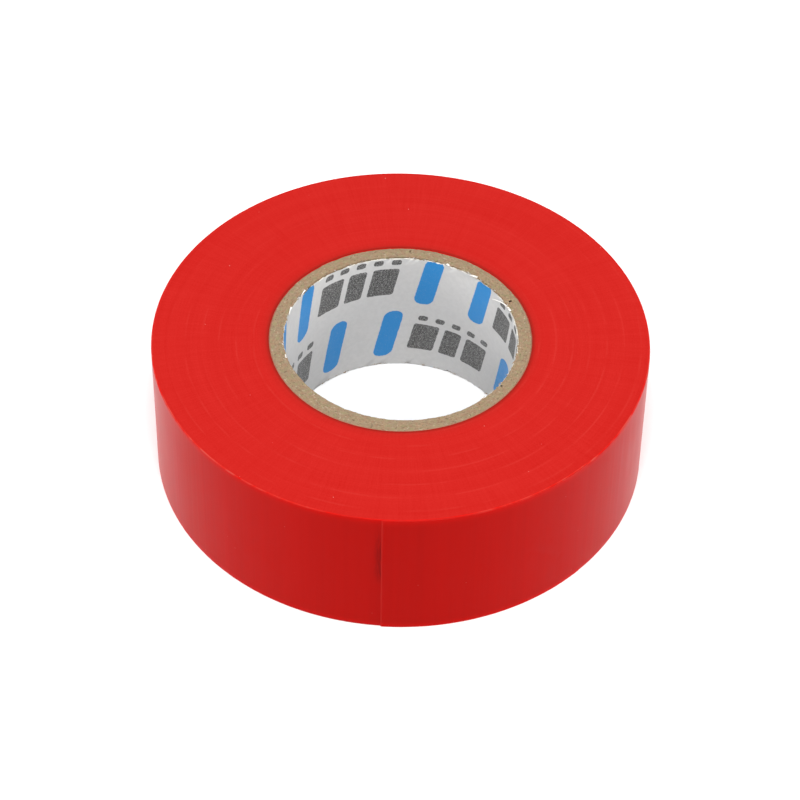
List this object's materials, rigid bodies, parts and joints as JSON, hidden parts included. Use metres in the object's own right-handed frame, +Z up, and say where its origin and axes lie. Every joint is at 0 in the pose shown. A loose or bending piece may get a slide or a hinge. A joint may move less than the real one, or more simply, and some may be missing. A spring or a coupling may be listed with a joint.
{
  "type": "electrical tape roll",
  "caption": "Flat round roll of red PVC insulating tape wound on a kraft paper core with an open bore and a printed paper liner; the loose outer end peels off on a chain of hinges.",
  "frame": {"origin": "middle of the flat face that the roll stands on, on the bore's axis", "axes": "+Z up along the bore's axis; -Y is the front, where the strip of tape ends; +X is to the right seen from the front"},
  "size_m": [0.0617, 0.0617, 0.019],
  "materials": {
    "tape": "satin",
    "kraft": "matte",
    "liner_paper": "matte"
  },
  "bodies": {
    "roll": {"tape_winding": "tape", "core_ply_1": "kraft", "core_ply_2": "kraft", "core_ply_3": "kraft", "core_ply_4": "kraft", "printed_liner": "liner_paper"},
    "tail_1": {"tape_tail_1": "tape"},
    "tail_2": {"tape_tail_2": "tape"},
    "tail_3": {"tape_tail_3": "tape"},
    "tail_4": {"tape_tail_4": "tape"},
    "tail_5": {"tape_tail_5": "tape"},
    "tail_6": {"tape_tail_6": "tape"}
  },
  "joints": [
    {"name": "peel", "type": "hinge", "parent": "roll", "child": "tail_1", "pos_m": [0.02246, -0.0212, 0.0095], "axis": [0, 0, 1], "range_deg": [0, 60]},
    {"name": "peel_bend_2", "type": "hinge", "parent": "tail_1", "child": "tail_2", "pos_m": [0.01914, -0.02424, 0.0095], "axis": [0, 0, 1], "range_deg": [0, 12]},
    {"name": "peel_bend_3", "type": "hinge", "parent": "tail_2", "child": "tail_3", "pos_m": [0.01542, -0.02676, 0.0095], "axis": [0, 0, 1], "range_deg": [0, 12]},
    {"name": "peel_bend_4", "type": "hinge", "parent": "tail_3", "child": "tail_4", "pos_m": [0.01138, -0.02872, 0.0095], "axis": [0, 0, 1], "range_deg": [0, 12]},
    {"name": "peel_bend_5", "type": "hinge", "parent": "tail_4", "child": "tail_5", "pos_m": [0.00709, -0.03007, 0.0095], "axis": [0, 0, 1], "range_deg": [0, 12]},
    {"name": "peel_bend_6", "type": "hinge", "parent": "tail_5", "child": "tail_6", "pos_m": [0.00265, -0.03078, 0.0095], "axis": [0, 0, 1], "range_deg": [0, 12]}
  ],
  "couplings": [
    {"joint": "peel_bend_2", "follows": "peel", "ratio": 0.16667},
    {"joint": "peel_bend_3", "follows": "peel", "ratio": 0.16667},
    {"joint": "peel_bend_4", "follows": "peel", "ratio": 0.16667},
    {"joint": "peel_bend_5", "follows": "peel", "ratio": 0.16667},
    {"joint": "peel_bend_6", "follows": "peel", "ratio": 0.16667}
  ]
}
